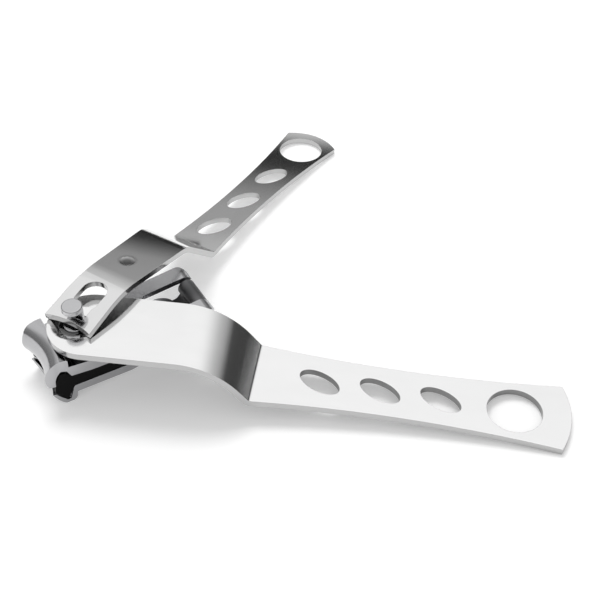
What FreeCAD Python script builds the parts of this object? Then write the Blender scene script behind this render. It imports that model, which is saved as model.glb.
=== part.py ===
"""Lever nail clipper with a swivelling head and two long cranked handles.

Millimetres, +Z up. The origin is on the axis of the notched pin, at the level of the surface
that the clipper lies on. +X runs along the lower handle. The head and the lever are modelled
along +X too, in their own plan, and are then turned about the pin's axis to where they rest.
"""
import FreeCAD, Part
import math
import os

os.makedirs("parts", exist_ok=True)

V = FreeCAD.Vector
UP = V(0, 0, 1)

# ---- clearances ----------------------------------------------------------------------------------
running_gap = 0.06        # a turning fit, on the radius
rest_gap = 0.05           # between faces that slide or rest on each other
tilt_gap = 0.8            # room for the upright pin in the jaw that tilts, on the radius
washer_gap = 0.2          # between the washer and the jaw that tilts above it
collar_gap = 0.3          # between the collar and the hump of the beak
cheek_gap = 0.15          # between the catcher and the side walls of both jaws
toe_gap = 0.1             # between the lever's toes and the plate
bar_gap = 0.62            # between the notch's flat and the lever's bar, which turns in the notch
neck_gap = 0.25           # between the pin and the sides of the lever's keyhole
cut_margin = 5.0          # how far a cutter stands out of what it cuts

# ---- height of the handle plate, and where the head and the lever rest in plan -------------------
plate_top = 20.0          # top face of the lower handle's plate above the surface
head_angle = 38.0         # of the jaws from the lower handle, in degrees
lever_angle = 66.75       # of the lever from the lower handle, in degrees

# ---- lower handle: a cranked strip of sheet ------------------------------------------------------
handle_thickness = 2.0
nose_radius = 12.0        # round front of the plate
nose_offset = 4.4         # its centre behind the pin
plate_half = 11.9         # half width where the crank starts
crank_start = 29.5        # from the pin to the start of the soft bend
crank_radius = 23.0       # soft bend, on its outer face
crank_slope = 51.66       # of the crank, in degrees
crank_drop = 12.6         # from the plate's top to the grip's top
heel_radius = 1.2         # sharp bend, on its inner face
grip_start_half = 10.95
grip_waist_half = 8.95
grip_end_half = 11.7
grip_length = 86.0
grip_end_bulge = 2.55     # how far the convex end stands out
slot_long = 6.25          # half length of an oval hole
slot_short = 3.45         # half width of an oval hole
slot_tilt = -26.5         # of the oval's long axis from the handle, in degrees
slot_inset = 18.2         # from the sharp bend to the first oval
slot_to_hang = 20.6       # from the last oval to the round hole
slot_count = 3
hang_hole_radius = 7.8
hang_hole_inset = 13.2    # from the round hole to the grip's end

# ---- lever: a thinner cranked strip with a keyhole and two toes ----------------------------------
lever_thickness = 1.8
toe_reach = 3.0           # the toes stand this far in front of the pin's axis
toe_half = 7.8
toe_scoop = 1.3           # depth of the hollow between the toes
cam_place = 13.0          # crown of the arch, which bears on the plate when the lever is in use
cam_rise = 3.15           # of the crown's corner above the toes' top
cam_half = 7.4
cam_radius = 34.0
ridge_place = 43.0
ridge_drop = 0.2          # of the ridge's top below the plate's top
ridge_half = 8.2
ridge_radius = 7.0
foot_place = 56.6
foot_drop = 13.0          # of the lower bend's top below the plate's top
foot_half = 7.55
foot_radius = 1.2
lever_grip_length = 71.3
lever_waist_half = 6.4
lever_end_half = 9.4
lever_end_bulge = 3.4
lever_slot_long = 6.1
lever_slot_short = 3.3
lever_slot_tilt = -24.5   # in degrees
lever_slot_inset = 11.4
lever_slot_to_hang = 19.1
lever_hang_radius = 7.2
lever_hang_inset = 7.1
keyhole_radius = 3.8      # of the keyhole's round end
keyhole_centre = 9.5
neck_end = 4.2            # where the keyhole's neck starts to widen
dimple_place = 27.0       # pressed mark on the lever
dimple_side = 0.9
dimple_radius = 7.5
dimple_depth = 0.3

# ---- notched pin ---------------------------------------------------------------------------------
pin_radius = 3.0
shank_radius = 2.5        # where it passes through the lower jaw
pin_height = 6.6          # above the plate
pin_edge = 0.45           # rounding of its top
notch_height = 4.9        # the notch's top above the plate
notch_sink = 0.45         # its bottom below the plate's top, clear of the turning bar
notch_flat = 0.45         # the flat lies this far behind the pin's axis
shoulder_lift = 0.6       # of the pin's shoulder above the lower jaw
foot_head_radius = 3.6
foot_head_height = 1.1
foot_head_round = 0.35
foot_washer_radius = 4.2
foot_dome = 0.45          # fall of the washer's top towards its rim

# ---- swivel collar: a stepped bush on the upper jaw that the handle's plate turns on -------------
collar_radius = 6.2
spigot_wall = 1.3         # of the part that stands in the plate's bore
dish_radius = 7.0         # pressed dish round the bore in the plate
dish_depth = 1.1

# ---- upper jaw: a channel with an arched beak ----------------------------------------------------
arm_top = 14.1            # top face at the pin
arm_skin = 1.6            # thickness of its top
arm_depth = 3.6           # height of its side walls
wall = 1.3                # thickness of its side walls
arm_half = 10.2
tail_flare = 0.4          # the tail is this much wider on each side
tail_top = 16.3
tail_round = 3.5          # rounding of the tail's top
tail_depth = 5.4          # height of the tail's side walls
rise_start = 12.0         # where both arms leave their level front part
edge_inset = 2.0          # from the arm's side to the end of the cutting edges
edge_hollow = 1.5         # depth of the cutting edges' concave curve
edge_reach = 12.3         # from the pin to the upper cutting edge
upper_edge = 8.2          # its height
beak_top = 16.9
beak_bulge = 0.85         # how far its front stands out in front of the edge
beak_round = 2.9          # rounding of its upper front
beak_hollow = 5.5         # height of the space under the beak
beak_skin = 1.6           # thickness of the beak behind its edge
shoulder_inset = 0.9      # the beak is this much narrower on each side
window_start = 22.0
window_half = 5.3
window_corner = 1.6

# ---- rear hinge ----------------------------------------------------------------------------------
hinge_place = 36.3
hinge_height = 13.0
hinge_radius = 1.1
knuckle_radius = 2.6
knuckle_half = 4.8
tail_reach = 2.9          # of the upper jaw's tail behind the hinge
rivet_radius = 1.9
rivet_dome = 0.7

# ---- lower jaw -----------------------------------------------------------------------------------
bed_top = 5.4
bed_thickness = 2.6
side_gap = 0.1            # between the bed and the side walls of the upper jaw
bed_end_drop = 2.9        # of the bed's rear end below the hinge's axis
lower_edge = 4.3
lower_edge_reach = 11.8
scoop_depth = 6.2         # from the lower cutting edge back to the bed
scoop_floor = 1.1         # thickness of the scoop's floor
sole_length = 2.0         # flat under the scoop that the jaw lies on
tongue_start = 27.0       # where the bed narrows to the knuckle
tongue_run = 4.6          # over which it narrows

# ---- opening spring and its rivet ----------------------------------------------------------------
spring_thickness = 0.5
spring_half = 3.6
spring_seat = 25.5
spring_tip = 7.0
spring_tip_flat = 2.2
spring_bend = 4.0
spring_rivet_radius = 1.0
spring_rivet_head = 0.5

# ---- clippings catcher ---------------------------------------------------------------------------
catcher_wall = 0.9
catcher_tie = 0.6         # thickness of the strip that ties its two cheeks
catcher_end = 16.0        # where its side bars end
bar_height = 3.7          # of the side bars above the bed
cheek_height = 6.0        # of the cheeks above the bed


# ---- helpers -------------------------------------------------------------------------------------
def wire_xz(steps):
    """Closed outline in the XZ plane: points, or (via, end) pairs for arcs."""
    return closed_wire(steps, lambda p: V(p[0], 0, p[1]))


def wire_xy(steps):
    """Closed outline in the XY plane."""
    return closed_wire(steps, lambda p: V(p[0], p[1], 0))


def closed_wire(steps, place):
    first = place(steps[0])
    here = first
    edges = []
    for step in list(steps[1:]) + [steps[0]]:
        if isinstance(step[0], tuple):
            via = place(step[0])
            end = place(step[1])
            edges.append(Part.Arc(here, via, end).toShape())
        else:
            end = place(step)
            if end.distanceToPoint(here) < 1e-6:
                continue
            edges.append(Part.makeLine(here, end))
        here = end
    return Part.Wire(edges)


def slab_y(steps, half):
    """Side profile, made solid across the width."""
    face = Part.Face(wire_xz(steps))
    solid = face.extrude(V(0, 2 * half, 0))
    solid.translate(V(0, -half, 0))
    return solid


def prism_z(steps, low, high):
    """Plan outline, made solid between two heights."""
    face = Part.Face(wire_xy(steps))
    solid = face.extrude(V(0, 0, high - low))
    solid.translate(V(0, 0, low))
    return solid


def mirrored(right):
    """A plan outline from its +Y half, given from front to back."""
    back = []
    for index in range(len(right) - 1, -1, -1):
        step = right[index]
        end = step[1] if isinstance(step[0], tuple) else step
        if index == len(right) - 1:
            back.append((end[0], -end[1]))
        if index > 0:
            before = right[index - 1]
            start = before[1] if isinstance(before[0], tuple) else before
            if isinstance(step[0], tuple):
                back.append(((step[0][0], -step[0][1]), (start[0], -start[1])))
            else:
                back.append((start[0], -start[1]))
    return list(right) + back


def unit(a, b):
    length = math.hypot(b[0] - a[0], b[1] - a[1])
    return ((b[0] - a[0]) / length, (b[1] - a[1]) / length)


def shifted_path(points, depth):
    """The path moved to its lower side by depth, with mitred corners."""
    moved = []
    for index, point in enumerate(points):
        before = unit(points[max(index - 1, 0)], points[max(index, 1)])
        after = unit(points[min(index, len(points) - 2)], points[min(index + 1, len(points) - 1)])
        mean = (before[0] + after[0], before[1] + after[1])
        length = math.hypot(mean[0], mean[1])
        mean = (mean[0] / length, mean[1] / length)
        stretch = depth / (mean[0] * before[0] + mean[1] * before[1])
        moved.append((point[0] + mean[1] * stretch, point[1] - mean[0] * stretch))
    return moved


def rounded_path(points, radii):
    """Steps along the path, with an arc of the given radius at each inner corner."""
    steps = [points[0]]
    for index in range(1, len(points) - 1):
        before = unit(points[index], points[index - 1])
        after = unit(points[index], points[index + 1])
        half = math.acos(before[0] * after[0] + before[1] * after[1]) / 2
        reach = radii[index - 1] / math.tan(half)
        start = tuple(points[index][k] + before[k] * reach for k in (0, 1))
        end = tuple(points[index][k] + after[k] * reach for k in (0, 1))
        middle = ((before[0] + after[0]) / 2, (before[1] + after[1]) / 2)
        length = math.hypot(middle[0], middle[1])
        out = radii[index - 1] / math.sin(half) - radii[index - 1]
        via = tuple(points[index][k] + middle[k] / length * out for k in (0, 1))
        steps.append(start)
        steps.append((via, end))
    steps.append(points[-1])
    return steps


def turned_back(steps):
    """The same steps walked the other way."""
    ends = [step[1] if isinstance(step[0], tuple) else step for step in steps]
    back = [ends[-1]]
    for index in range(len(steps) - 1, 0, -1):
        step = steps[index]
        back.append((step[0], ends[index - 1]) if isinstance(step[0], tuple) else ends[index - 1])
    return back


def bent_strip(top, inner_radii, thickness, half):
    """A strip of sheet bent along a path of its top face. Each bend's inner radius is given."""
    bottom = shifted_path(top, thickness)
    top_radii = []
    bottom_radii = []
    for index in range(1, len(top) - 1):
        before = unit(top[index - 1], top[index])
        after = unit(top[index], top[index + 1])
        turns_down = before[0] * after[1] - before[1] * after[0] < 0
        radius = inner_radii[index - 1]
        top_radii.append(radius + thickness if turns_down else radius)
        bottom_radii.append(radius if turns_down else radius + thickness)
    outline = rounded_path(top, top_radii) + turned_back(rounded_path(bottom, bottom_radii))
    return slab_y(outline, half)


def on_grip(shape, start, drop, slope):
    """Moves a cutter from the grip's own plane to the sloping grip."""
    shape.rotate(V(0, 0, 0), V(0, 1, 0), slope)
    shape.translate(V(start, 0, plate_top - drop))
    return shape


def oval_cutter(along, long_half, short_half, tilt):
    oval = Part.Ellipse(V(0, 0, 0), long_half, short_half).toShape()
    cutter = Part.Face(Part.Wire([oval])).extrude(V(0, 0, 2 * cut_margin))
    cutter.translate(V(0, 0, -cut_margin))
    cutter.rotate(V(0, 0, 0), UP, tilt)
    cutter.translate(V(along, 0, 0))
    return cutter


def round_cutter(along, radius):
    return Part.makeCylinder(radius, 2 * cut_margin, V(along, 0, -cut_margin), UP)


def perforate(strip, cutters, start, drop, slope):
    for cutter in cutters:
        strip = strip.cut(on_grip(cutter, start, drop, slope))
    return strip


def grip_slope(drop, thickness, length):
    """Slope at which the lower edge of a grip's end comes down to the surface."""
    reach = plate_top - drop
    slope = math.asin(reach / length)
    for _ in range(8):
        slope = math.asin((reach - thickness * math.cos(slope)) / length)
    return slope


def export(name, shape):
    shape.exportStep("parts/" + name + ".step")
    print(name, "valid", shape.isValid(), "solids", len(shape.Solids), "volume", round(shape.Volume, 2))


def to_head(shape):
    shape.rotate(V(0, 0, 0), UP, head_angle)
    return shape


def to_lever(shape):
    shape.rotate(V(0, 0, 0), UP, lever_angle)
    return shape


def half_arc(centre, radius, low, high):
    """Middle and end of an arc in plan round a point on the X axis, between two angles in degrees."""
    points = []
    for angle in ((low + high) / 2, high):
        turn = math.radians(angle)
        points.append((centre + radius * math.cos(turn), radius * math.sin(turn)))
    return tuple(points)


def oval_row(inset, pitch, long_half, short_half, tilt):
    return [oval_cutter(inset + index * pitch, long_half, short_half, tilt) for index in range(slot_count)]


def end_bulge(end, half, bulge):
    """Right half of a grip's convex end, from its corner to the middle."""
    return [(end, half), ((end + bulge * 0.75, half / 2), (end + bulge, 0.0))]


# ---- lower handle --------------------------------------------------------------------------------
def crank_place():
    """Where the crank reaches the grip."""
    slope = math.radians(crank_slope)
    return crank_start + crank_radius * math.tan(slope / 2) + crank_drop / math.tan(slope)


def lower_handle():
    start = crank_place()
    tip = grip_length + grip_end_bulge
    slope = grip_slope(crank_drop, handle_thickness, tip)
    corner = crank_start + crank_radius * math.tan(math.radians(crank_slope) / 2)
    grip_top = plate_top - crank_drop
    top = [
        (nose_offset - nose_radius, plate_top),
        (corner, plate_top),
        (start, grip_top),
        (start + tip * math.cos(slope), grip_top - tip * math.sin(slope)),
    ]
    soft_inner = crank_radius - handle_thickness
    strip = bent_strip(top, [soft_inner, heel_radius], handle_thickness, nose_radius + cut_margin)
    end = start + grip_length * math.cos(slope)
    half_outline = [
        (nose_offset - nose_radius, 0.0),
        half_arc(nose_offset, nose_radius, 180, 90),
        (crank_start, plate_half),
        (start, grip_start_half),
        (((start + end) / 2, grip_waist_half), (end, grip_end_half)),
    ] + end_bulge(end, grip_end_half, grip_end_bulge)[1:]
    outline = prism_z(mirrored(half_outline), -cut_margin, plate_top + cut_margin)
    handle = strip.common(outline)
    hang_place = grip_length - hang_hole_inset
    pitch = (hang_place - slot_to_hang - slot_inset) / (slot_count - 1)
    cutters = oval_row(slot_inset, pitch, slot_long, slot_short, slot_tilt)
    cutters.append(round_cutter(hang_place, hang_hole_radius))
    handle = perforate(handle, cutters, start, crank_drop, math.degrees(slope))
    bore = spigot_radius() + running_gap
    dish = Part.makeCone(bore, 2 * dish_radius - bore, 2 * dish_depth, V(0, 0, plate_top - dish_depth), UP)
    return handle.cut(upright_cutter(bore, plate_top)).cut(dish)


def spigot_radius():
    return pin_radius + running_gap + spigot_wall


def upright_cutter(radius, height):
    """A cutter for a bore round the pin's axis, through a sheet at that height."""
    return Part.makeCylinder(radius, 2 * cut_margin, V(0, 0, height - cut_margin), UP)


# ---- lever ---------------------------------------------------------------------------------------
def toe_height():
    return plate_top + toe_gap + lever_thickness


def lever():
    tip = lever_grip_length + lever_end_bulge
    slope = grip_slope(foot_drop, lever_thickness, tip)
    foot_top = plate_top - foot_drop
    top = [
        (-toe_reach, toe_height()),
        (cam_place, toe_height() + cam_rise),
        (ridge_place, plate_top - ridge_drop),
        (foot_place, foot_top),
        (foot_place + tip * math.cos(slope), foot_top - tip * math.sin(slope)),
    ]
    strip = bent_strip(top, [cam_radius, ridge_radius, foot_radius], lever_thickness,
                       lever_end_half + cut_margin)
    end = foot_place + lever_grip_length * math.cos(slope)
    half_outline = [
        (toe_scoop - toe_reach, 0.0),
        ((toe_scoop * 0.75 - toe_reach, toe_half / 2), (-toe_reach, toe_half)),
        (cam_place, cam_half),
        (ridge_place, ridge_half),
        (foot_place, foot_half),
        (((foot_place + end) / 2, lever_waist_half), (end, lever_end_half)),
    ] + end_bulge(end, lever_end_half, lever_end_bulge)[1:]
    outline = prism_z(mirrored(half_outline), -cut_margin, plate_top + 2 * cut_margin)
    arm = strip.common(outline)
    neck = pin_radius + neck_gap
    bar_back = notch_flat - bar_gap
    keyhole = [
        (bar_back, 0.0),
        (bar_back, neck),
        (neck_end, neck),
        (neck_end + 2 * (keyhole_radius - neck), keyhole_radius),
        (keyhole_centre, keyhole_radius),
        half_arc(keyhole_centre, keyhole_radius, 90, 0),
    ]
    arm = arm.cut(prism_z(mirrored(keyhole), plate_top - cut_margin, plate_top + 2 * cut_margin))
    arm = arm.cut(dimple_cutter())
    hang_place = lever_grip_length - lever_hang_inset
    pitch = (hang_place - lever_slot_to_hang - lever_slot_inset) / (slot_count - 1)
    cutters = oval_row(lever_slot_inset, pitch, lever_slot_long, lever_slot_short, lever_slot_tilt)
    cutters.append(round_cutter(hang_place, lever_hang_radius))
    arm = perforate(arm, cutters, foot_place, foot_drop, math.degrees(slope))
    return to_lever(arm)


def dimple_cutter():
    """A ball that leaves the shallow pressed mark on the lever."""
    high = toe_height() + cam_rise
    low = plate_top - ridge_drop
    share = (dimple_place - cam_place) / (ridge_place - cam_place)
    face = high + (low - high) * share
    ball = Part.makeSphere(dimple_radius)
    ball.translate(V(dimple_place, dimple_side, face + dimple_radius - dimple_depth))
    return ball


# ---- notched pin and its washer ------------------------------------------------------------------
def pivot_pin():
    top = plate_top + pin_height
    shoulder = bed_top + shoulder_lift
    profile = [
        (0.0, 0.0),
        (foot_head_radius - foot_head_round, 0.0),
        rounded_rim(foot_head_radius - foot_head_round, foot_head_round),
        (foot_head_radius, foot_head_height),
        (shank_radius, foot_head_height),
        (shank_radius, shoulder),
        (pin_radius, shoulder),
        (pin_radius, top - pin_edge),
        quarter(pin_radius - pin_edge, top - pin_edge, pin_edge),
        (0.0, top),
    ]
    notch = Part.makeBox(2 * pin_radius, 4 * pin_radius, notch_height + notch_sink)
    notch.translate(V(notch_flat - 2 * pin_radius, -2 * pin_radius, plate_top - notch_sink))
    return to_lever(turned(profile).cut(notch))


def quarter(across, up, radius):
    """A rounded upper rim, from its side to its top."""
    share = radius * math.sqrt(0.5)
    return ((across + share, up + share), (across, up + radius))


def rounded_rim(across, radius):
    """A rounded lower rim at the surface, from its bottom to its side."""
    share = radius * math.sqrt(0.5)
    return ((across + share, radius - share), (across + radius, radius))


def turned(profile):
    """A turned piece from its half profile."""
    return Part.Face(wire_xz(profile)).revolve(V(0, 0, 0), UP, 360)


def foot_washer():
    low = foot_head_height + rest_gap
    high = bed_top - bed_thickness - washer_gap
    bore = shank_radius + running_gap
    profile = [
        (bore, low),
        (foot_washer_radius, low),
        (foot_washer_radius, high - foot_dome),
        (((foot_washer_radius + bore) / 2, high - foot_dome * 0.35), (bore, high)),
    ]
    return turned(profile)


def swivel_collar():
    bore = pin_radius + running_gap
    shoulder = plate_top - handle_thickness - rest_gap
    profile = [
        (bore, arm_top),
        (collar_radius, arm_top),
        (collar_radius, shoulder),
        (spigot_radius(), shoulder),
        (spigot_radius(), plate_top - dish_depth),
        (bore, plate_top - dish_depth),
    ]
    return turned(profile)


# ---- upper jaw -----------------------------------------------------------------------------------
def tail_half():
    return arm_half + tail_flare


def shoulder_half():
    return arm_half - shoulder_inset


def edge_half():
    return arm_half - edge_inset


def bed_half():
    return arm_half - wall - side_gap


def tail_end():
    return hinge_place + tail_reach


def scoop_back():
    """How far in front of the pin the lower jaw's bed turns down into its scoop."""
    return lower_edge_reach - scoop_depth


def upper_jaw():
    tail = tail_end()
    arm_bottom = arm_top - arm_depth
    hump_back = -collar_radius - collar_gap
    beak_front = -edge_reach
    beak_back = -scoop_back() - collar_gap * 1.3
    inner_front = beak_front + beak_skin
    outer = [
        (beak_front - 2 * beak_bulge, upper_edge),
        (beak_front - 2 * beak_bulge, beak_top),
        (hump_back - collar_gap * 1.3, beak_top),
        ((hump_back - collar_gap * 0.4, beak_top - collar_gap), (hump_back, beak_top - collar_gap * 2.3)),
        (hump_back, arm_top),
        (rise_start, arm_top),
        (tail - tail_round, tail_top),
        ((tail - tail_round * 0.3, tail_top - tail_round * 0.32), (tail, tail_top - tail_round)),
        (tail, tail_top - tail_depth),
        (tail - tail_depth, tail_top - tail_depth),
        (tail - tail_depth * 1.4, tail_top - arm_depth),
        (rise_start, arm_bottom),
        (beak_back, arm_bottom),
        (beak_back - beak_skin * 0.75, upper_edge + beak_hollow * 0.84),
        (beak_back - beak_skin * 1.75, upper_edge + beak_hollow * 0.91),
        ((inner_front + beak_skin * 0.4, upper_edge + beak_hollow * 0.65),
         (inner_front, upper_edge + beak_hollow * 0.35)),
        (beak_front + edge_hollow, upper_edge),
    ]
    body = slab_y(outer, tail_half() + cut_margin)
    body = body.common(upper_plan(tail)).cut(beak_cutter())
    body = body.cut(upper_hollow(tail)).cut(cheek_pocket())
    window = prism_z(mirrored([
        (window_start, 0.0),
        (window_start, window_half - window_corner),
        (corner_via(window_start, window_half, window_corner), (window_start + window_corner, window_half)),
        (tail + cut_margin, window_half),
        (tail + cut_margin, 0.0),
    ]), 0, plate_top)
    body = body.cut(window).cut(upright_cutter(pin_radius + running_gap, arm_top))
    return to_head(body.cut(hinge_rod(hinge_radius + running_gap, tail_half() + cut_margin)))


def corner_via(front, half, radius):
    """Middle of a rounded corner at the front of an opening."""
    inset = radius * (1 - math.sqrt(0.5))
    return (front + inset, half - inset)


def upper_plan(tail):
    """The upper jaw in plan, with rounded corners on the beak and the tail."""
    front = -edge_reach - beak_bulge
    return prism_z(mirrored([
        (front - beak_bulge, 0.0),
        (front - beak_bulge, edge_half()),
        ((front + beak_round * 0.3, shoulder_half() - edge_inset * 0.15),
         (front + beak_round * 1.2, shoulder_half())),
        (0.0, arm_half),
        (tail - tail_round, tail_half()),
        ((tail - tail_round * 0.3, tail_half() - tail_round * 0.3), (tail, tail_half() - tail_round)),
        (tail, 0.0),
    ]), -cut_margin, plate_top)


def beak_cutter():
    """The beak's front, turned about an upright line in front of it, so that it is hollow in plan."""
    hollow_radius = (edge_half() ** 2 + edge_hollow ** 2) / (2 * edge_hollow)
    front = -edge_reach + edge_hollow
    axis = front - hollow_radius
    profile = [
        (axis, upper_edge - cut_margin),
        (front, upper_edge - cut_margin),
        (front, upper_edge),
        ((front - beak_bulge, upper_edge + beak_round * 1.1),
         (front - beak_bulge * 0.12, beak_top - beak_round)),
        ((front + beak_round * 0.45, beak_top - beak_round * 0.345), (front + beak_round * 1.62, beak_top)),
        (front + beak_round * 1.62, beak_top + cut_margin),
        (axis, beak_top + cut_margin),
    ]
    return Part.Face(wire_xz(profile)).revolve(V(axis, 0, 0), UP, 360)


def upper_hollow(tail):
    """The space inside the channel."""
    ceiling_front = arm_top - arm_skin
    ceiling_back = tail_top - arm_skin
    front = -scoop_back() - beak_skin * 1.5
    return slab_y([
        (front, arm_top - arm_depth - cut_margin),
        (front, ceiling_front + arm_skin * 0.75),
        (front + beak_skin * 1.6, ceiling_front),
        (rise_start, ceiling_front),
        (tail - tail_round, ceiling_back),
        (tail + cut_margin, ceiling_back),
        (tail + cut_margin, arm_top - arm_depth - cut_margin),
    ], arm_half - wall)


def cheek_pocket():
    """The slots inside the beak that the catcher's cheeks rise into as the jaws close."""
    front = -edge_reach + beak_skin * 0.5
    low = arm_top - arm_depth - cut_margin
    top = beak_top - beak_skin * 1.2
    pocket = slab_y([
        (front, low),
        (front, upper_edge + beak_hollow * 0.56),
        (front + beak_skin * 1.3, top),
        (front + beak_skin * 2.5, top),
        (cheek_gap - scoop_back(), arm_top - arm_skin),
        (cheek_gap - scoop_back(), low),
    ], arm_half - wall)
    inner = bed_half() - catcher_wall - 2 * cheek_gap
    far = -2 * edge_reach
    return pocket.cut(slab_y([(far, 0), (far, plate_top), (0, plate_top), (0, 0)], inner))


def hinge_rod(radius, half):
    return Part.makeCylinder(radius, 2 * half, V(hinge_place, -half, hinge_height), V(0, 1, 0))


def hinge_pin():
    face = tail_half() + rest_gap
    rod = hinge_rod(hinge_radius, face)
    for side in (-1, 1):
        head = Part.makeCone(rivet_radius, rivet_radius / 2, rivet_dome,
                             V(hinge_place, side * face, hinge_height), V(0, side, 0))
        rod = rod.fuse(head)
    return to_head(rod)


# ---- lower jaw -----------------------------------------------------------------------------------
def bed_slope():
    run = hinge_place - knuckle_radius - rise_start
    return (hinge_height - bed_end_drop - bed_top) / run


def bed_line(along):
    """Height of the lower jaw's bed."""
    return bed_top + max(along - rise_start, 0.0) * bed_slope()


def lower_jaw():
    bed_bottom = bed_top - bed_thickness
    back = -scoop_back()
    sole_front = back - scoop_floor * 2.55
    sole_back = sole_front + sole_length
    outer = [
        (-lower_edge_reach + edge_hollow * 0.6, lower_edge),
        (-lower_edge_reach, lower_edge),
        ((sole_front - scoop_floor * 1.4, scoop_floor * 1.27), (sole_front, 0.0)),
        (sole_back, 0.0),
        ((sole_back + scoop_floor * 0.91, scoop_floor * 0.45),
         (sole_back + scoop_floor * 1.36, scoop_floor * 1.55)),
        (sole_back + scoop_floor * 1.55, bed_bottom),
        (rise_start, bed_bottom),
        (hinge_place - hinge_radius, bed_line(hinge_place - hinge_radius) - bed_thickness),
        ((hinge_place + knuckle_radius * 0.54, hinge_height - knuckle_radius * 0.85),
         (hinge_place + knuckle_radius * 0.62, hinge_height)),
        (hinge_place - knuckle_radius * 0.62, hinge_height),
        ((hinge_place - knuckle_radius * 0.85, hinge_height - knuckle_radius * 0.73),
         (hinge_place - knuckle_radius * 1.3, bed_line(hinge_place - knuckle_radius * 1.3))),
        (rise_start, bed_top),
        (back + scoop_floor * 0.55, bed_top),
        ((back + scoop_floor * 0.09, bed_top - scoop_floor * 0.27),
         (back - scoop_floor * 0.18, bed_top - scoop_floor * 0.91)),
        (back - scoop_floor, scoop_floor * 1.45),
        ((back - scoop_floor * 1.36, scoop_floor * 1.05), (back - scoop_floor * 2.1, scoop_floor)),
    ]
    body = slab_y(outer, bed_half() + cut_margin)
    front = -lower_edge_reach
    half_outline = [
        (front + edge_hollow, 0.0),
        ((front + edge_hollow * 0.75, edge_half() / 2), (front, edge_half())),
        (front + edge_hollow * 1.6, bed_half()),
        (tongue_start, bed_half()),
        ((tongue_start + tongue_run * 0.6, bed_half() * 0.86), (tongue_start + tongue_run, knuckle_half)),
        (hinge_place + cut_margin, knuckle_half),
        (hinge_place + cut_margin, 0.0),
    ]
    body = body.common(prism_z(mirrored(half_outline), -cut_margin, plate_top))
    knuckle = Part.makeCylinder(knuckle_radius, 2 * knuckle_half, V(hinge_place, -knuckle_half, hinge_height),
                                V(0, 1, 0))
    body = body.fuse(knuckle).removeSplitter()
    body = body.cut(hinge_rod(hinge_radius + running_gap, tail_half()))
    body = body.cut(upright_cutter(shank_radius + tilt_gap, bed_top))
    return to_head(body.cut(seat_bore()))


# ---- opening spring and its rivet ----------------------------------------------------------------
def on_bed(shape):
    """Sets a shape made upright at the origin square on the bed, at the spring's seat."""
    shape.rotate(V(0, 0, 0), V(0, 1, 0), -math.degrees(math.atan(bed_slope())))
    shape.translate(V(spring_seat, 0, bed_line(spring_seat)))
    return shape


def seat_bore():
    bore = Part.makeCylinder(spring_rivet_radius + running_gap, 2 * cut_margin, V(0, 0, -cut_margin), UP)
    return on_bed(bore)


def opening_spring():
    lift = spring_thickness + rest_gap
    tip_top = arm_top - arm_skin - rest_gap
    half_seat = spring_half * 0.7
    top = [
        (spring_tip, tip_top - spring_thickness),
        (spring_tip + spring_tip_flat, tip_top),
        (spring_seat - half_seat, bed_line(spring_seat - half_seat) + lift),
        (spring_seat + half_seat, bed_line(spring_seat + half_seat) + lift),
    ]
    leaf = bent_strip(top, [spring_bend * 0.4, spring_bend], spring_thickness, spring_half)
    return to_head(leaf.cut(seat_bore()))


def spring_rivet():
    grip = spring_thickness + 2 * rest_gap
    rod = Part.makeCylinder(spring_rivet_radius, bed_thickness + grip - rest_gap,
                            V(0, 0, rest_gap - bed_thickness), UP)
    head = Part.makeCone(1.7 * spring_rivet_radius, spring_rivet_radius, spring_rivet_head, V(0, 0, grip), UP)
    return to_head(on_bed(rod.fuse(head)))


# ---- clippings catcher ---------------------------------------------------------------------------
def clippings_catcher():
    outer_half = bed_half() - cheek_gap
    back = -scoop_back()
    seat = bed_top + rest_gap
    front = -lower_edge_reach + beak_skin * 0.5
    cheek_back = back - scoop_floor * 1.8
    cheek = [
        (front, lower_edge + scoop_floor * 0.7),
        (back - scoop_floor * 2.14, scoop_floor + 2.4 * rest_gap),
        (back - scoop_floor * 1.6, scoop_floor * 1.4),
        (back - scoop_floor * 0.41, bed_top - scoop_floor * 0.82),
        (back + scoop_floor * 0.09, seat),
        (rise_start, seat),
        (catcher_end, bed_line(catcher_end) + rest_gap),
        (catcher_end, bed_line(catcher_end) + bar_height * 0.54),
        (back + scoop_floor * 0.3, bed_top + bar_height),
        (cheek_back, bed_top + cheek_height),
        (front + beak_skin * 1.1, bed_top + cheek_height),
        (front + beak_skin * 0.1, bed_top + cheek_height * 0.37),
    ]
    block = slab_y(cheek, outer_half)
    middle = Part.makeBox(4 * edge_reach, 2 * (outer_half - catcher_wall), plate_top)
    middle.translate(V(-2 * edge_reach, catcher_wall - outer_half, 0))
    tie = Part.makeBox(catcher_tie * 3, 2 * outer_half, catcher_tie)
    tie.translate(V(back + scoop_floor * 0.2, -outer_half, seat))
    return to_head(block.cut(middle).fuse(tie).removeSplitter())


NODES = {
    "lower_handle": lower_handle,
    "lever": lever,
    "pivot_pin": pivot_pin,
    "foot_washer": foot_washer,
    "swivel_collar": swivel_collar,
    "upper_jaw": upper_jaw,
    "lower_jaw": lower_jaw,
    "hinge_pin": hinge_pin,
    "opening_spring": opening_spring,
    "spring_rivet": spring_rivet,
    "clippings_catcher": clippings_catcher,
}
for node, make in NODES.items():
    export(node, make())
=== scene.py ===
"""Looks of the swivel-head lever nail clipper, laid out as an add-on and run as a script."""
import math

import bmesh
import bpy
from bpy.props import FloatProperty, FloatVectorProperty, IntProperty, PointerProperty
from mathutils import Matrix, Vector


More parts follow.
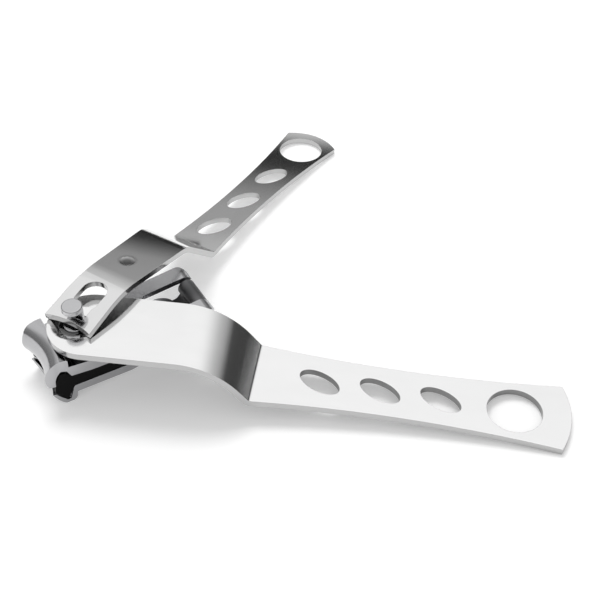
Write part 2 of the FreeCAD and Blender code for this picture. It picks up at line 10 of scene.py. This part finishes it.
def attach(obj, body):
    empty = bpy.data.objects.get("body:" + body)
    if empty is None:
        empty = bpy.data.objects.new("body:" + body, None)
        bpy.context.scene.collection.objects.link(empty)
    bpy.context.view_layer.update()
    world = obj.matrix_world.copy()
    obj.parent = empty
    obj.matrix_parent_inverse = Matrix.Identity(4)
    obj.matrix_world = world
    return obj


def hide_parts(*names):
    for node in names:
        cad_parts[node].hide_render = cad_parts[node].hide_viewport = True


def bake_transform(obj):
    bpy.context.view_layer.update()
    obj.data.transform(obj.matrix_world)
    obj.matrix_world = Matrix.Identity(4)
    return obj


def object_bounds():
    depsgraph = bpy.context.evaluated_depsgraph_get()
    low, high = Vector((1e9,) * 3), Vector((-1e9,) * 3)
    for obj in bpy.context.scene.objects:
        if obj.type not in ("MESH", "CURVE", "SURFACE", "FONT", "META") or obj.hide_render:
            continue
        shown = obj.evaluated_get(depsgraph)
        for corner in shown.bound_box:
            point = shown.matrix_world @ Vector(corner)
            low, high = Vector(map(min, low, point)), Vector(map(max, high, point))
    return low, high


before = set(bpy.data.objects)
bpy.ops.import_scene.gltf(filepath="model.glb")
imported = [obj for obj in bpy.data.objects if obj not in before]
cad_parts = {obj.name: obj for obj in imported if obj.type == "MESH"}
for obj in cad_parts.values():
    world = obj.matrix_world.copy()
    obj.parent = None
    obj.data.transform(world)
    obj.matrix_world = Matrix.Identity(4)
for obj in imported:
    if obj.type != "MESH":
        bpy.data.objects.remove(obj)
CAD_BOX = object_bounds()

bl_info = {
    "name": "Lever Nail Clipper",
    "version": (1, 0, 0),
    "blender": (4, 5, 0),
    "location": "View3D > Sidebar > Nail Clipper",
    "description": "Finishes the steel and plastic pieces of a lever nail clipper and sets up its studio",
    "category": "Object",
}

MM = 0.001
LEVER_ANGLE = math.radians(66.75)          # direction of the lever and of its brushing
HEAD_ANGLE = math.radians(38.0)            # direction of the jaws and of their polishing
UPRIGHT = 0.35                             # a normal that rises or falls less is a sheared edge's
SAME_POINT = 0.002 * MM                    # corners nearer than this are one
SAME_FLAT = math.radians(0.6)              # faces nearer in direction than this are one flat
SAME_BEND = math.radians(9.0)              # triangles of a bend nearer than this are joined in pairs
SHARP = math.radians(32.0)                 # an edge that turns more than this is rounded
FINE_GRAIN = 0.5                           # share of the brushed grain that polishing leaves
DULLING = 1.5                              # roughness of dull steel against brushed steel
SPRING_SHADE = 0.75                        # colour of the leaf spring against the polished jaws
GRAIN_DEPTH, SPECK_DEPTH = 0.04 * MM, 0.03 * MM
SPECK_STRENGTH = 0.25
CATCHER_ROUND, CATCHER_STEPS = 0.12 * MM, 2
DARK_SPOT_CORE, DARK_SPOT_BLUR = 0.3, 0.3            # share of a painted dark spot that is fully dark, and its roughness
FLOOR_REACH, FLOOR_GAP = 4.0, 0.02 * MM    # half width of the floor, and its gap below the object
WALL_RADIUS = WALL_HEIGHT = 1.2
KEY_PLACE, KEY_AIM, KEY_SIZE = (-0.25, 0.66, 1.50), (0.05, 0.04, 0.0), (0.80, 0.60)

# How fine each pattern is, along its grain and across it, in waves per metre.
BRUSHED, POLISHED, TURNED = (120.0, 9000.0), (200.0, 5000.0), (4000.0, 4000.0)
ROLLED, SPRUNG, CLOUDED = (2500.0, 2500.0), (200.0, 6000.0), (60.0, 160.0)
SPECKLED = (2600.0, 2600.0)

# Painted dark spots (shade, and one dark reflection): the centre, the radius, and the share of the colour
# that is left in the middle.
DIMPLE_REFLECTION = (0.0094, 0.0243, 0.0227), 3.2 * MM, 0.25        # painted dark reflection in the lever's pressed dimple
BED_SHADE = (0.0260, 0.0205, 0.0115), 14.0 * MM, 0.2    # painted shade on the lower jaw's bed under the window
LEVER_FRONT_SHADE = (0.0, 0.0, 0.0200), 34.0 * MM, 0.1             # painted shade under the lever's front, where it lies over the plate

# Cards that the steel mirrors: the middle of the foot, the turn in degrees, the width and the
# height, and the grey at shares of the height.
CARDS = {
    "studio_flag": ((0.150, 0.125, 0.0), -44.0, 0.20, 0.075, ((0.0, 0.05), (1.0, 0.06))),
    "studio_slat": ((0.003, 0.075, 0.022), 0.0, 0.034, 0.0225,
                    ((0.0, 0.02), (0.70, 0.03), (0.94, 0.28), (1.0, 0.33))),
    "studio_side": ((-0.250, -0.020, 0.0), 90.0, 0.40, 0.14, ((0.0, 0.22), (1.0, 0.42))),
    "studio_strip": ((0.025, 0.191, 0.026), 0.0, 0.12, 0.070,
                     ((0.0, 0.75), (0.22, 0.75), (0.30, 0.0), (0.46, 0.02), (0.60, 0.25), (0.80, 0.44),
                      (1.0, 0.34))),
}
WALL_LEVELS = ((0.0, 0.03), (0.28, 0.03), (0.38, 0.12), (0.50, 0.38), (0.65, 0.54), (0.78, 0.76),
               (0.90, 0.97), (1.0, 1.0))

# ---- settings ------------------------------------------------------------------------------------
class SteelSettings(bpy.types.PropertyGroup):
    """Colours and finish of the steel pieces."""
    handle_colour: FloatVectorProperty(
        name="Handle colour", description="Colour of the lower handle's brushed steel",
        subtype="COLOR", size=3, min=0.0, max=1.0, default=(0.88, 0.88, 0.88))
    lever_colour: FloatVectorProperty(
        name="Lever colour", description="Colour of the lever's brushed steel",
        subtype="COLOR", size=3, min=0.0, max=1.0, default=(0.74, 0.74, 0.74))
    jaw_colour: FloatVectorProperty(
        name="Jaw colour", description="Colour of the polished upper jaw",
        subtype="COLOR", size=3, min=0.0, max=1.0, default=(0.46, 0.46, 0.47))
    bed_colour: FloatVectorProperty(
        name="Bed colour", description="Colour of the lower jaw",
        subtype="COLOR", size=3, min=0.0, max=1.0, default=(0.42, 0.42, 0.43))
    pin_colour: FloatVectorProperty(
        name="Pin colour", description="Colour of the turned pieces",
        subtype="COLOR", size=3, min=0.0, max=1.0, default=(0.55, 0.55, 0.56))
    # Painted shade: the collar and washer sit in recesses, and their dark colour stands for the shade
    # there.
    collar_shade_colour: FloatVectorProperty(
        name="Collar colour", description="Colour of the collar and washer, which rub and hold dirt",
        subtype="COLOR", size=3, min=0.0, max=1.0, default=(0.20, 0.20, 0.20))
    brushed_roughness: FloatProperty(
        name="Brushed roughness", description="Roughness of the brushed faces",
        min=0.05, max=0.8, default=0.12)
    # The outline's grey is partly the sheared steel's own and partly painted shade.
    cut_colour: FloatVectorProperty(
        name="Edge colour", description="Colour of the sheared outlines and of the lever's holes",
        subtype="COLOR", size=3, min=0.0, max=1.0, default=(0.50, 0.50, 0.50))
    # Painted shade inside the holes.
    hole_shade_colour: FloatVectorProperty(
        name="Hole colour", description="Colour inside the lower handle's holes",
        subtype="COLOR", size=3, min=0.0, max=1.0, default=(0.24, 0.24, 0.24))
    # Painted shade under the handle.
    under_shade_colour: FloatVectorProperty(
        name="Underside colour", description="Colour of the lower handle's underside, left as rolled",
        subtype="COLOR", size=3, min=0.0, max=1.0, default=(0.20, 0.20, 0.20))
    lever_under_colour: FloatVectorProperty(
        name="Lever underside colour", description="Colour of the lever's underside behind its front",
        subtype="COLOR", size=3, min=0.0, max=1.0, default=(0.72, 0.72, 0.72))
    polished_roughness: FloatProperty(
        name="Polished roughness", description="Roughness of the polished faces",
        min=0.02, max=0.6, default=0.17)
    grain: FloatProperty(
        name="Grain", description="Depth of the brushed grain", min=0.0, max=1.0, default=0.05)
    edge_round: FloatProperty(
        name="Edge rounding", description="Radius of the tumbled edges of the pressed sheet",
        subtype="DISTANCE", unit="LENGTH", min=0.0, max=0.001, default=0.00030)
    fine_edge_round: FloatProperty(
        name="Fine edge rounding", description="Radius of the edges of the ground and turned pieces",
        subtype="DISTANCE", unit="LENGTH", min=0.0, max=0.001, default=0.00014)
    edge_steps: IntProperty(
        name="Edge steps", description="Facets across a rounded edge", min=1, max=6, default=3)


class PlasticSettings(bpy.types.PropertyGroup):
    """Colour and finish of the clippings catcher."""
    catcher_colour: FloatVectorProperty(
        name="Catcher colour", description="Colour of the moulded catcher",
        subtype="COLOR", size=3, min=0.0, max=1.0, default=(0.003, 0.003, 0.003))
    catcher_roughness: FloatProperty(
        name="Catcher roughness", description="Roughness of the moulded catcher",
        min=0.1, max=1.0, default=0.34)
    catcher_sheen: FloatProperty(
        name="Catcher sheen", description="Strength of the catcher's reflections",
        min=0.0, max=1.0, default=0.07)


class StudioSettings(bpy.types.PropertyGroup):
    """Camera, lights and floor."""
    lens: FloatProperty(
        name="Lens", description="Focal length of the camera in millimetres",
        min=20.0, max=200.0, default=76.68)
    azimuth: FloatProperty(
        name="Azimuth", description="Direction of view, turned from +Y towards +X, in degrees",
        min=-180.0, max=180.0, default=-8.13)
    elevation: FloatProperty(
        name="Elevation", description="Height of the camera above the horizon, in degrees",
        min=0.0, max=90.0, default=43.34)
    position: FloatVectorProperty(
        name="Camera position", description="Where the camera stands", subtype="TRANSLATION",
        unit="LENGTH", size=3, default=(0.09781, -0.24212, 0.26780))
    key_power: FloatProperty(
        name="Key power", description="Power of the large soft lamp above and behind",
        unit="POWER", min=0.0, max=200.0, default=12.5)
    room_light: FloatProperty(
        name="Room light", description="Strength of the light that comes from all round",
        min=0.0, max=2.0, default=0.64)
    floor_grey: FloatProperty(
        name="Floor grey", description="Lightness of the floor", min=0.0, max=1.0, default=0.80)
    floor_lift: FloatProperty(
        name="Floor lift", description="Light that the floor adds of its own, so that it shows white",
        min=0.0, max=1.0, default=0.28)


# ---- shared helpers ------------------------------------------------------------------------------
def nodes_of(material):
    """The node tree of a material, emptied."""
    material.use_nodes = True
    tree = material.node_tree
    tree.nodes.clear()
    return tree


def add(tree, kind, **settings):
    """A new node of a kind, with its settings."""
    node = tree.nodes.new(kind)
    for name, value in settings.items():
        setattr(node, name, value)
    return node


def link(tree, source, target):
    tree.links.new(source, target)


def stretched_noise(tree, coordinates, angle, pattern, detail):
    """Noise drawn out along one direction, as brushing or polishing leaves it."""
    along, across = pattern
    turn = add(tree, "ShaderNodeMapping")
    turn.inputs["Rotation"].default_value = (0.0, 0.0, -angle)
    link(tree, coordinates, turn.inputs["Vector"])
    stretch = add(tree, "ShaderNodeMapping")
    stretch.inputs["Scale"].default_value = (along, across, across)
    link(tree, turn.outputs["Vector"], stretch.inputs["Vector"])
    noise = add(tree, "ShaderNodeTexNoise")
    noise.inputs["Scale"].default_value = 1.0
    noise.inputs["Detail"].default_value = detail
    noise.inputs["Roughness"].default_value = 0.6
    link(tree, stretch.outputs["Vector"], noise.inputs["Vector"])
    return noise.outputs["Fac"]


def ranged(tree, value, low, high):
    """The middle half of a pattern, spread from low to high."""
    spread = add(tree, "ShaderNodeMapRange")
    spread.inputs["From Min"].default_value = 0.25
    spread.inputs["From Max"].default_value = 0.75
    spread.inputs["To Min"].default_value = low
    spread.inputs["To Max"].default_value = high
    link(tree, value, spread.inputs["Value"])
    return spread.outputs["Result"]


def tinted(tree, value, colour, low, high):
    """The colour, lightened and darkened a little by a pattern."""
    ramp = add(tree, "ShaderNodeValToRGB")
    ramp.color_ramp.elements[0].position = 0.3
    ramp.color_ramp.elements[1].position = 0.7
    ramp.color_ramp.elements[0].color = [part * low for part in colour] + [1.0]
    ramp.color_ramp.elements[1].color = [min(part * high, 1.0) for part in colour] + [1.0]
    link(tree, value, ramp.inputs["Fac"])
    return ramp.outputs["Color"]


def bumped(tree, value, strength, distance):
    """Normals that a pattern raises and lowers."""
    bump = add(tree, "ShaderNodeBump")
    bump.inputs["Strength"].default_value = strength
    bump.inputs["Distance"].default_value = distance
    link(tree, value, bump.inputs["Height"])
    return bump.outputs["Normal"]


def steel(name, colour, roughness, angle, grain, pattern):
    """Stainless steel with a fine grain along one direction and a soft cloudiness."""
    material = bpy.data.materials.new(name)
    tree = nodes_of(material)
    output = add(tree, "ShaderNodeOutputMaterial")
    surface = add(tree, "ShaderNodeBsdfPrincipled")
    surface.inputs["Metallic"].default_value = 1.0
    link(tree, surface.outputs["BSDF"], output.inputs["Surface"])
    place = add(tree, "ShaderNodeTexCoord").outputs["Object"]
    lines = stretched_noise(tree, place, angle, pattern, 3.0)
    clouds = stretched_noise(tree, place, angle, CLOUDED, 2.0)
    link(tree, tinted(tree, clouds, colour, 0.985, 1.01), surface.inputs["Base Color"])
    link(tree, ranged(tree, lines, roughness * 0.9, roughness * 1.12), surface.inputs["Roughness"])
    link(tree, bumped(tree, lines, grain, GRAIN_DEPTH), surface.inputs["Normal"])
    return material


def painted_dark_spot(material, centre, radius, darkness):
    """Paints a dark spot into the steel round the centre, out to the radius, and roughens it: shade, and
    at the lever's dimple a dark reflection.
    """
    tree = material.node_tree
    surface = next(node for node in tree.nodes if node.type == "BSDF_PRINCIPLED")
    place = add(tree, "ShaderNodeTexCoord").outputs["Object"]
    reach = add(tree, "ShaderNodeVectorMath", operation="DISTANCE")
    link(tree, place, reach.inputs[0])
    reach.inputs[1].default_value = centre
    share = add(tree, "ShaderNodeMapRange")
    share.inputs["From Min"].default_value = radius
    share.inputs["From Max"].default_value = radius * DARK_SPOT_CORE
    link(tree, reach.outputs["Value"], share.inputs["Value"])
    shade = add(tree, "ShaderNodeMix", data_type="RGBA", blend_type="MULTIPLY")
    link(tree, share.outputs["Result"], shade.inputs["Factor"])
    link(tree, surface.inputs["Base Color"].links[0].from_socket, shade.inputs["A"])
    shade.inputs["B"].default_value = (darkness, darkness, darkness, 1.0)
    link(tree, shade.outputs["Result"], surface.inputs["Base Color"])
    blur = add(tree, "ShaderNodeMath", operation="MULTIPLY_ADD")
    link(tree, share.outputs["Result"], blur.inputs[0])
    blur.inputs[1].default_value = DARK_SPOT_BLUR
    link(tree, surface.inputs["Roughness"].links[0].from_socket, blur.inputs[2])
    link(tree, blur.outputs["Value"], surface.inputs["Roughness"])


def rough_shaded_steel(name, colour, look):
    """Rougher steel with painted shade in its darker colour, for undersides, holes, recessed pieces and,
    in part, sheared outlines. Each name is made once.
    """
    made = bpy.data.materials.get(name)
    return made or steel(name, colour, look.brushed_roughness * DULLING, 0.0, look.grain, ROLLED)


def plastic(name, colour, roughness, sheen):
    """Moulded plastic with a fine speckle."""
    material = bpy.data.materials.new(name)
    tree = nodes_of(material)
    output = add(tree, "ShaderNodeOutputMaterial")
    surface = add(tree, "ShaderNodeBsdfPrincipled")
    surface.inputs["Specular IOR Level"].default_value = sheen
    link(tree, surface.outputs["BSDF"], output.inputs["Surface"])
    place = add(tree, "ShaderNodeTexCoord").outputs["Object"]
    specks = stretched_noise(tree, place, 0.0, SPECKLED, 4.0)
    link(tree, tinted(tree, specks, colour, 0.8, 1.3), surface.inputs["Base Color"])
    link(tree, ranged(tree, specks, roughness * 0.85, roughness * 1.2), surface.inputs["Roughness"])
    link(tree, bumped(tree, specks, SPECK_STRENGTH, SPECK_DEPTH), surface.inputs["Normal"])
    return material


def rings(faces):
    """The faces in groups that join one another: an outline, or the wall of one hole."""
    left = dict.fromkeys(faces)
    while left:
        ring = [left.popitem()[0]]
        for face in ring:
            for edge in face.edges:
                for near in edge.link_faces:
                    if near in left:
                        del left[near]
                        ring.append(near)
        yield ring


def finished(node, material, rounding, steps, body, rough_and_shaded=()):
    """A copy of a CAD piece with joined faces and rounded edges, which then stands for it.

    A pressed sheet takes three rougher materials on its sheared outline, in its holes and on its
    underside; their darker colour is painted shade (on the outline partly the sheared steel's own grey).
    A piece with no body is left unattached.
    """
    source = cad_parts[node]
    mesh = bpy.data.meshes.new(node + "_finished")
    shape = bmesh.new()
    shape.from_mesh(source.data)
    bmesh.ops.remove_doubles(shape, verts=shape.verts, dist=SAME_POINT)
    bmesh.ops.dissolve_limit(shape, angle_limit=SAME_FLAT, verts=shape.verts, edges=shape.edges,
                             delimit=set())
    bmesh.ops.join_triangles(shape, faces=[face for face in shape.faces if len(face.verts) == 3],
                             angle_face_threshold=SAME_BEND, angle_shape_threshold=math.pi)
    for face in shape.faces:
        face.smooth = True
        # Downward faces take the fourth material, whose dark colour is painted shade under the sheet.
        if rough_and_shaded and face.normal.z < -UPRIGHT:
            face.material_index = 3
    sheared = [face for face in shape.faces if rough_and_shaded and abs(face.normal.z) <= UPRIGHT]
    # Upright faces: outlines take the second material, whose darker colour is in part painted shade, and
    # hole walls the third, whose dark colour is painted shade in the holes.
    for ring in rings(sheared):
        outward = sum(face.calc_area() * face.normal.dot(face.calc_center_median()) for face in ring)
        for face in ring:
            face.material_index = 1 if outward > 0 else 2
    shape.to_mesh(mesh)
    shape.free()
    mesh.set_sharp_from_angle(angle=SHARP)
    for finish in (material,) + tuple(rough_and_shaded):
        mesh.materials.append(finish)
    piece = bpy.data.objects.new(node + "_finished", mesh)
    bpy.context.scene.collection.objects.link(piece)
    if rounding > 0:
        bevel = piece.modifiers.new("rounded_edges", "BEVEL")
        bevel.width = rounding
        bevel.segments = steps
        bevel.limit_method = "ANGLE"
        bevel.angle_limit = SHARP
        bevel.use_clamp_overlap = True
    level = piece.modifiers.new("level_faces", "WEIGHTED_NORMAL")
    level.weight = 50
    level.keep_sharp = True
    if body:
        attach(piece, body)
    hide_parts(node)
    return piece


# ---- pieces --------------------------------------------------------------------------------------
class CLIPPER_OT_handle(bpy.types.Operator):
    """Finish the lower handle in brushed steel"""
    bl_idname = "clipper.handle"
    bl_label = "Lower handle"

    def execute(self, context):
        look = context.scene.clipper_steel
        metal = steel("handle_steel_brushed", look.handle_colour, look.brushed_roughness, 0.0,
                      look.grain, BRUSHED)
        # The three darker materials paint shade on the outline (in part), in the holes and under the
        # handle.
        finished("lower_handle", metal, look.edge_round, look.edge_steps, "handle",
                 (rough_shaded_steel("sheared", look.cut_colour, look), rough_shaded_steel("handle_hole_shade", look.hole_shade_colour, look),
                  rough_shaded_steel("rolled_and_shaded", look.under_shade_colour, look)))
        return {"FINISHED"}


class CLIPPER_OT_lever(bpy.types.Operator):
    """Finish the lever in brushed steel"""
    bl_idname = "clipper.lever"
    bl_label = "Lever"

    def execute(self, context):
        look = context.scene.clipper_steel
        metal = steel("lever_steel_brushed", look.lever_colour, look.brushed_roughness, LEVER_ANGLE,
                      look.grain, BRUSHED)
        # Painted dark reflection in the pressed dimple, with rougher steel there.
        painted_dark_spot(metal, *DIMPLE_REFLECTION)
        # The lever's underside, with painted shade at its front, over the plate.
        below = rough_shaded_steel("lever_underside_shaded", look.lever_under_colour, look)
        painted_dark_spot(below, *LEVER_FRONT_SHADE)
        finished("lever", metal, look.edge_round, look.edge_steps, "lever",
                 (rough_shaded_steel("sheared", look.cut_colour, look), rough_shaded_steel("sheared", look.cut_colour, look), below))
        return {"FINISHED"}


class CLIPPER_OT_jaws(bpy.types.Operator):
    """Finish both jaws in polished steel"""
    bl_idname = "clipper.jaws"
    bl_label = "Jaws"

    def execute(self, context):
        look = context.scene.clipper_steel
        metal = steel("jaw_steel_polished", look.jaw_colour, look.polished_roughness, HEAD_ANGLE,
                      look.grain * FINE_GRAIN, POLISHED)
        finished("upper_jaw", metal, look.fine_edge_round, look.edge_steps, "head")
        bed = steel("jaw_steel_bed", look.bed_colour, look.polished_roughness, HEAD_ANGLE,
                    look.grain * FINE_GRAIN, POLISHED)
        # Painted shade on the bed under the window, with rougher steel there.
        painted_dark_spot(bed, *BED_SHADE)
        finished("lower_jaw", bed, look.fine_edge_round, look.edge_steps, "jaw")
        return {"FINISHED"}


class CLIPPER_OT_pins(bpy.types.Operator):
    """Finish the notched pin, its washer, the collar, the hinge pin, the spring and its rivet"""
    bl_idname = "clipper.pins"
    bl_label = "Pins, collar and spring"

    def execute(self, context):
        look = context.scene.clipper_steel
        turned = steel("turned_steel", look.pin_colour, look.polished_roughness, 0.0,
                       look.grain * FINE_GRAIN, TURNED)
        sprung = steel("spring_steel_dark", [part * SPRING_SHADE for part in look.jaw_colour],
                       look.brushed_roughness, HEAD_ANGLE, look.grain, SPRUNG)
        # Painted shade on the collar and washer, in their recesses.
        shaded_recess = rough_shaded_steel("recess_shaded_steel", look.collar_shade_colour, look)
        for node, body, metal in (("pivot_pin", "pin", turned), ("foot_washer", "foot", shaded_recess),
                                  ("swivel_collar", "head", shaded_recess), ("hinge_pin", "head", turned),
                                  ("spring_rivet", "jaw", turned)):
            finished(node, metal, look.fine_edge_round, look.edge_steps, body)
        leaf = finished("opening_spring", sprung, look.fine_edge_round / 2, look.edge_steps, None)
        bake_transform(leaf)
        return {"FINISHED"}


class CLIPPER_OT_catcher(bpy.types.Operator):
    """Finish the clippings catcher in moulded black plastic"""
    bl_idname = "clipper.catcher"
    bl_label = "Clippings catcher"

    def execute(self, context):
        look = context.scene.clipper_plastic
        moulded = plastic("catcher_plastic_black", look.catcher_colour, look.catcher_roughness,
                          look.catcher_sheen)
        finished("clippings_catcher", moulded, CATCHER_ROUND, CATCHER_STEPS, "jaw")
        return {"FINISHED"}


# ---- stage ---------------------------------------------------------------------------------------
def seen_directly(tree):
    """1 for what the camera sees, straight or in steel, and 0 for light that only falls on things."""
    path = add(tree, "ShaderNodeLightPath")
    mirrored = add(tree, "ShaderNodeMath", operation="MAXIMUM")
    link(tree, path.outputs["Is Glossy Ray"], mirrored.inputs[0])
    link(tree, path.outputs["Is Transmission Ray"], mirrored.inputs[1])
    either = add(tree, "ShaderNodeMath", operation="MAXIMUM")
    link(tree, path.outputs["Is Camera Ray"], either.inputs[0])
    link(tree, mirrored.outputs["Value"], either.inputs[1])
    return either.outputs["Value"]


def build_floor(look):
    """A pale floor that shows white and keeps the object's shadow."""
    mesh = bpy.data.meshes.new("studio_floor")
    shape = bmesh.new()
    bmesh.ops.create_grid(shape, x_segments=1, y_segments=1, size=FLOOR_REACH)
    shape.to_mesh(mesh)
    shape.free()
    floor = bpy.data.objects.new("studio_floor", mesh)
    bpy.context.scene.collection.objects.link(floor)
    floor.location.z = CAD_BOX[0][2] - FLOOR_GAP
    material = bpy.data.materials.new("floor_paper")
    tree = nodes_of(material)
    output = add(tree, "ShaderNodeOutputMaterial")
    paper = add(tree, "ShaderNodeBsdfDiffuse")
    paper.inputs["Color"].default_value = (look.floor_grey, look.floor_grey, look.floor_grey, 1.0)
    glow = add(tree, "ShaderNodeEmission")
    strength = add(tree, "ShaderNodeMath", operation="MULTIPLY")
    strength.inputs[1].default_value = look.floor_lift
    link(tree, seen_directly(tree), strength.inputs[0])
    link(tree, strength.outputs["Value"], glow.inputs["Strength"])
    both = add(tree, "ShaderNodeAddShader")
    link(tree, paper.outputs["BSDF"], both.inputs[0])
    link(tree, glow.outputs["Emission"], both.inputs[1])
    link(tree, both.outputs["Shader"], output.inputs["Surface"])
    mesh.materials.append(material)


def build_world(look):
    """A white room: it shows white to the camera and in the steel, and lights the rest plainly."""
    world = bpy.data.worlds.new("studio")
    bpy.context.scene.world = world
    world.use_nodes = True
    tree = world.node_tree
    tree.nodes.clear()
    output = add(tree, "ShaderNodeOutputWorld")
    room = add(tree, "ShaderNodeBackground")
    room.inputs["Color"].default_value = (1.0, 1.0, 1.0, 1.0)
    room.inputs["Strength"].default_value = look.room_light
    white = add(tree, "ShaderNodeBackground")
    white.inputs["Color"].default_value = (1.0, 1.0, 1.0, 1.0)
    white.inputs["Strength"].default_value = 1.0
    mix = add(tree, "ShaderNodeMixShader")
    link(tree, seen_directly(tree), mix.inputs["Fac"])
    link(tree, room.outputs["Background"], mix.inputs[1])
    link(tree, white.outputs["Background"], mix.inputs[2])
    link(tree, mix.outputs["Shader"], output.inputs["Surface"])


def reflected_only(card):
    """The steel mirrors this stage piece, and nothing else is touched by it."""
    card.visible_camera = False
    card.visible_diffuse = False
    card.visible_shadow = False
    card.visible_volume_scatter = False


def shaded_card(name, mesh, levels, height):
    """A card or wall that is as light as the levels say, from its foot to its top."""
    card = bpy.data.objects.new(name, mesh)
    bpy.context.scene.collection.objects.link(card)
    material = bpy.data.materials.new(name)
    tree = nodes_of(material)
    output = add(tree, "ShaderNodeOutputMaterial")
    place = add(tree, "ShaderNodeTexCoord")
    split = add(tree, "ShaderNodeSeparateXYZ")
    link(tree, place.outputs["Object"], split.inputs["Vector"])
    share = add(tree, "ShaderNodeMapRange")
    share.inputs["From Max"].default_value = height
    link(tree, split.outputs["Z"], share.inputs["Value"])
    ramp = add(tree, "ShaderNodeValToRGB")
    stops = ramp.color_ramp.elements
    stops[0].position, stops[1].position = levels[0][0], levels[-1][0]
    stops[0].color = [levels[0][1]] * 3 + [1.0]
    stops[1].color = [levels[-1][1]] * 3 + [1.0]
    for position, grey in levels[1:-1]:
        stops.new(position).color = [grey] * 3 + [1.0]
    link(tree, share.outputs["Result"], ramp.inputs["Fac"])
    glow = add(tree, "ShaderNodeEmission")
    link(tree, ramp.outputs["Color"], glow.inputs["Color"])
    link(tree, glow.outputs["Emission"], output.inputs["Surface"])
    mesh.materials.append(material)
    reflected_only(card)
    return card


def upright_card(name, centre, turn, width, height, levels):
    """A rectangular card that stands upright, turned about Z, with its foot at the centre's height."""
    mesh = bpy.data.meshes.new(name)
    shape = bmesh.new()
    bmesh.ops.create_grid(shape, x_segments=1, y_segments=1, size=0.5)
    bmesh.ops.scale(shape, verts=shape.verts, vec=(width, height, 1.0))
    bmesh.ops.rotate(shape, verts=shape.verts, matrix=Matrix.Rotation(math.radians(90.0), 3, "X"))
    bmesh.ops.translate(shape, verts=shape.verts, vec=(0.0, 0.0, height / 2))
    shape.to_mesh(mesh)
    shape.free()
    card = shaded_card(name, mesh, levels, height)
    card.location = centre
    card.rotation_euler = (0.0, 0.0, math.radians(turn))


def build_walls():
    """The room's wall, darker than its ceiling, and the cards that the steel mirrors."""
    mesh = bpy.data.meshes.new("studio_wall")
    shape = bmesh.new()
    bmesh.ops.create_circle(shape, segments=64, radius=WALL_RADIUS)
    rim = bmesh.ops.extrude_edge_only(shape, edges=shape.edges)
    top = [item for item in rim["geom"] if isinstance(item, bmesh.types.BMVert)]
    bmesh.ops.translate(shape, verts=top, vec=(0.0, 0.0, WALL_HEIGHT))
    shape.to_mesh(mesh)
    shape.free()
    shaded_card("studio_wall", mesh, WALL_LEVELS, WALL_HEIGHT)
    for name, (centre, turn, width, height, levels) in CARDS.items():
        upright_card(name, centre, turn, width, height, levels)


def build_lamp(name, place, aim, size, power):
    """A large soft lamp that the steel doesn't mirror."""
    lamp = bpy.data.lights.new(name, "AREA")
    lamp.shape = "RECTANGLE"
    lamp.size = size[0]
    lamp.size_y = size[1]
    lamp.energy = power
    holder = bpy.data.objects.new(name, lamp)
    bpy.context.scene.collection.objects.link(holder)
    holder.location = place
    holder.visible_glossy = False
    holder.rotation_euler = (Vector(aim) - Vector(place)).to_track_quat("-Z", "Y").to_euler()


def build_camera(look):
    """The camera, from its place, direction and lens."""
    camera = bpy.data.cameras.new("studio_camera")
    camera.lens = look.lens
    camera.sensor_width = 36.0
    camera.clip_start = 0.01
    holder = bpy.data.objects.new("studio_camera", camera)
    bpy.context.scene.collection.objects.link(holder)
    azimuth = math.radians(look.azimuth)
    elevation = math.radians(look.elevation)
    ahead = Vector((math.sin(azimuth) * math.cos(elevation), math.cos(azimuth) * math.cos(elevation),
                    -math.sin(elevation)))
    right = Vector((math.cos(azimuth), -math.sin(azimuth), 0.0))
    above = right.cross(ahead)
    turn = Matrix((right, above, -ahead)).transposed()
    holder.matrix_world = Matrix.Translation(look.position) @ turn.to_4x4()
    bpy.context.scene.camera = holder


class CLIPPER_OT_stage(bpy.types.Operator):
    """Set up the floor, the lights and the camera"""
    bl_idname = "clipper.stage"
    bl_label = "Studio"

    def execute(self, context):
        look = context.scene.clipper_studio
        build_floor(look)
        build_world(look)
        build_walls()
        build_lamp("soft_key", KEY_PLACE, KEY_AIM, KEY_SIZE, look.key_power)
        build_camera(look)
        context.scene.view_settings.view_transform = "Standard"
        return {"FINISHED"}


class CLIPPER_PT_panel(bpy.types.Panel):
    """Lists the pieces of the nail clipper"""
    bl_idname = "CLIPPER_PT_panel"
    bl_label = "Nail Clipper"
    bl_space_type = "VIEW_3D"
    bl_region_type = "UI"
    bl_category = "Nail Clipper"

    def draw(self, context):
        for settings in (context.scene.clipper_steel, context.scene.clipper_plastic,
                         context.scene.clipper_studio):
            for name in settings.__annotations__:
                self.layout.prop(settings, name)
        for operator in OPERATORS:
            self.layout.operator(operator.bl_idname)


OPERATORS = (CLIPPER_OT_handle, CLIPPER_OT_lever, CLIPPER_OT_jaws, CLIPPER_OT_pins, CLIPPER_OT_catcher,
             CLIPPER_OT_stage)
CLASSES = (SteelSettings, PlasticSettings, StudioSettings) + OPERATORS + (CLIPPER_PT_panel,)


def register():
    for item in CLASSES:
        bpy.utils.register_class(item)
    bpy.types.Scene.clipper_steel = PointerProperty(type=SteelSettings)
    bpy.types.Scene.clipper_plastic = PointerProperty(type=PlasticSettings)
    bpy.types.Scene.clipper_studio = PointerProperty(type=StudioSettings)


def unregister():
    del bpy.types.Scene.clipper_studio
    del bpy.types.Scene.clipper_plastic
    del bpy.types.Scene.clipper_steel
    for item in reversed(CLASSES):
        bpy.utils.unregister_class(item)


def main():
    register()
    bpy.ops.clipper.handle()
    bpy.ops.clipper.lever()
    bpy.ops.clipper.jaws()
    bpy.ops.clipper.pins()
    bpy.ops.clipper.catcher()
    bpy.ops.clipper.stage()


if __name__ == "__main__":
    main()
